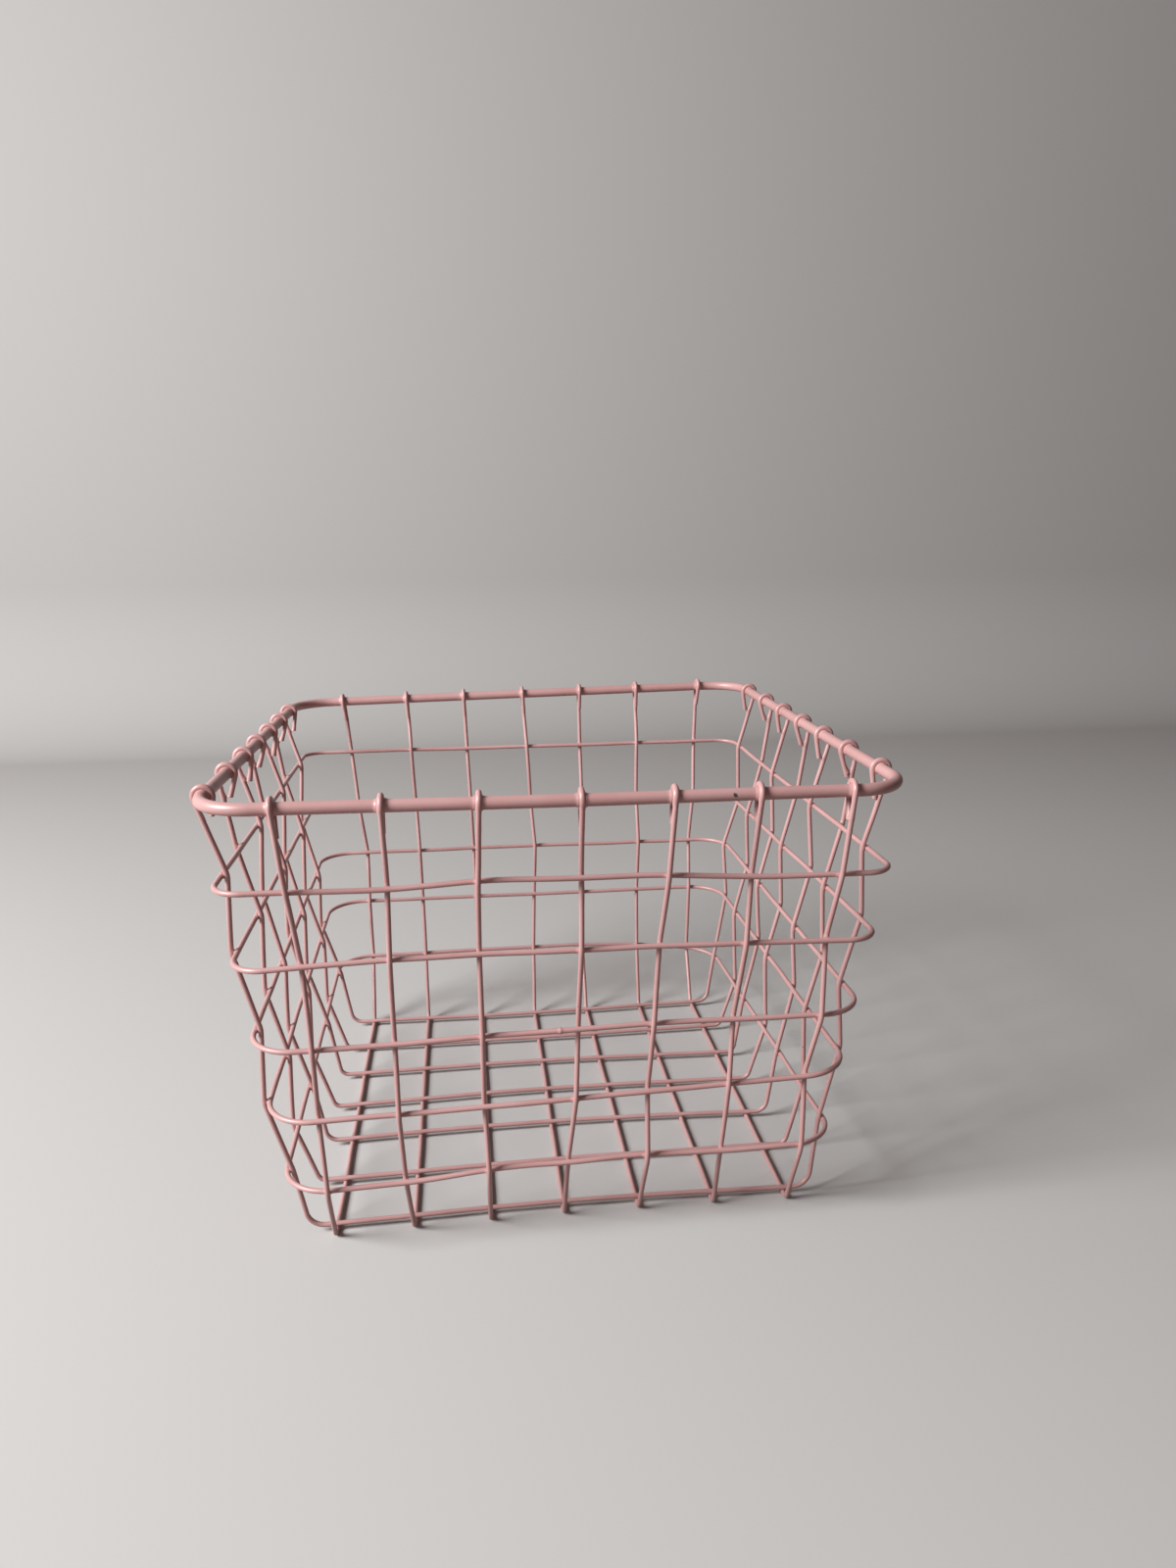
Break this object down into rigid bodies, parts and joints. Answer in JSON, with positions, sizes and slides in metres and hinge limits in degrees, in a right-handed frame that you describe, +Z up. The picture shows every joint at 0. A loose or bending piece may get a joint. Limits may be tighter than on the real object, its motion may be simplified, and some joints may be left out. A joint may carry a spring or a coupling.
{
  "type": "wire locker basket",
  "caption": "Open square storage basket woven from coated wire: a thick rim bar, hoops round tapered walls, and U-shaped wires that hook over the rim and cross on the floor.",
  "frame": {"origin": "middle of the floor's underside, where the basket stands", "axes": "+X to the right and +Y to the back as seen in the picture, +Z up out of the mouth"},
  "size_m": [0.3106, 0.3106, 0.2266],
  "materials": {
    "powder_coat": "satin powder coat"
  },
  "bodies": {
    "root": {"rim": "powder_coat", "hoop_1": "powder_coat", "hoop_2": "powder_coat", "hoop_3": "powder_coat", "hoop_4": "powder_coat", "hoop_5": "powder_coat", "lengthwise_wire_1": "powder_coat", "lengthwise_wire_2": "powder_coat", "lengthwise_wire_3": "powder_coat", "lengthwise_wire_4": "powder_coat", "lengthwise_wire_5": "powder_coat", "lengthwise_wire_6": "powder_coat", "lengthwise_wire_7": "powder_coat", "crosswise_wire_1": "powder_coat", "crosswise_wire_2": "powder_coat", "crosswise_wire_3": "powder_coat", "crosswise_wire_4": "powder_coat", "crosswise_wire_5": "powder_coat", "crosswise_wire_6": "powder_coat", "crosswise_wire_7": "powder_coat"}
  },
  "joints": []
}
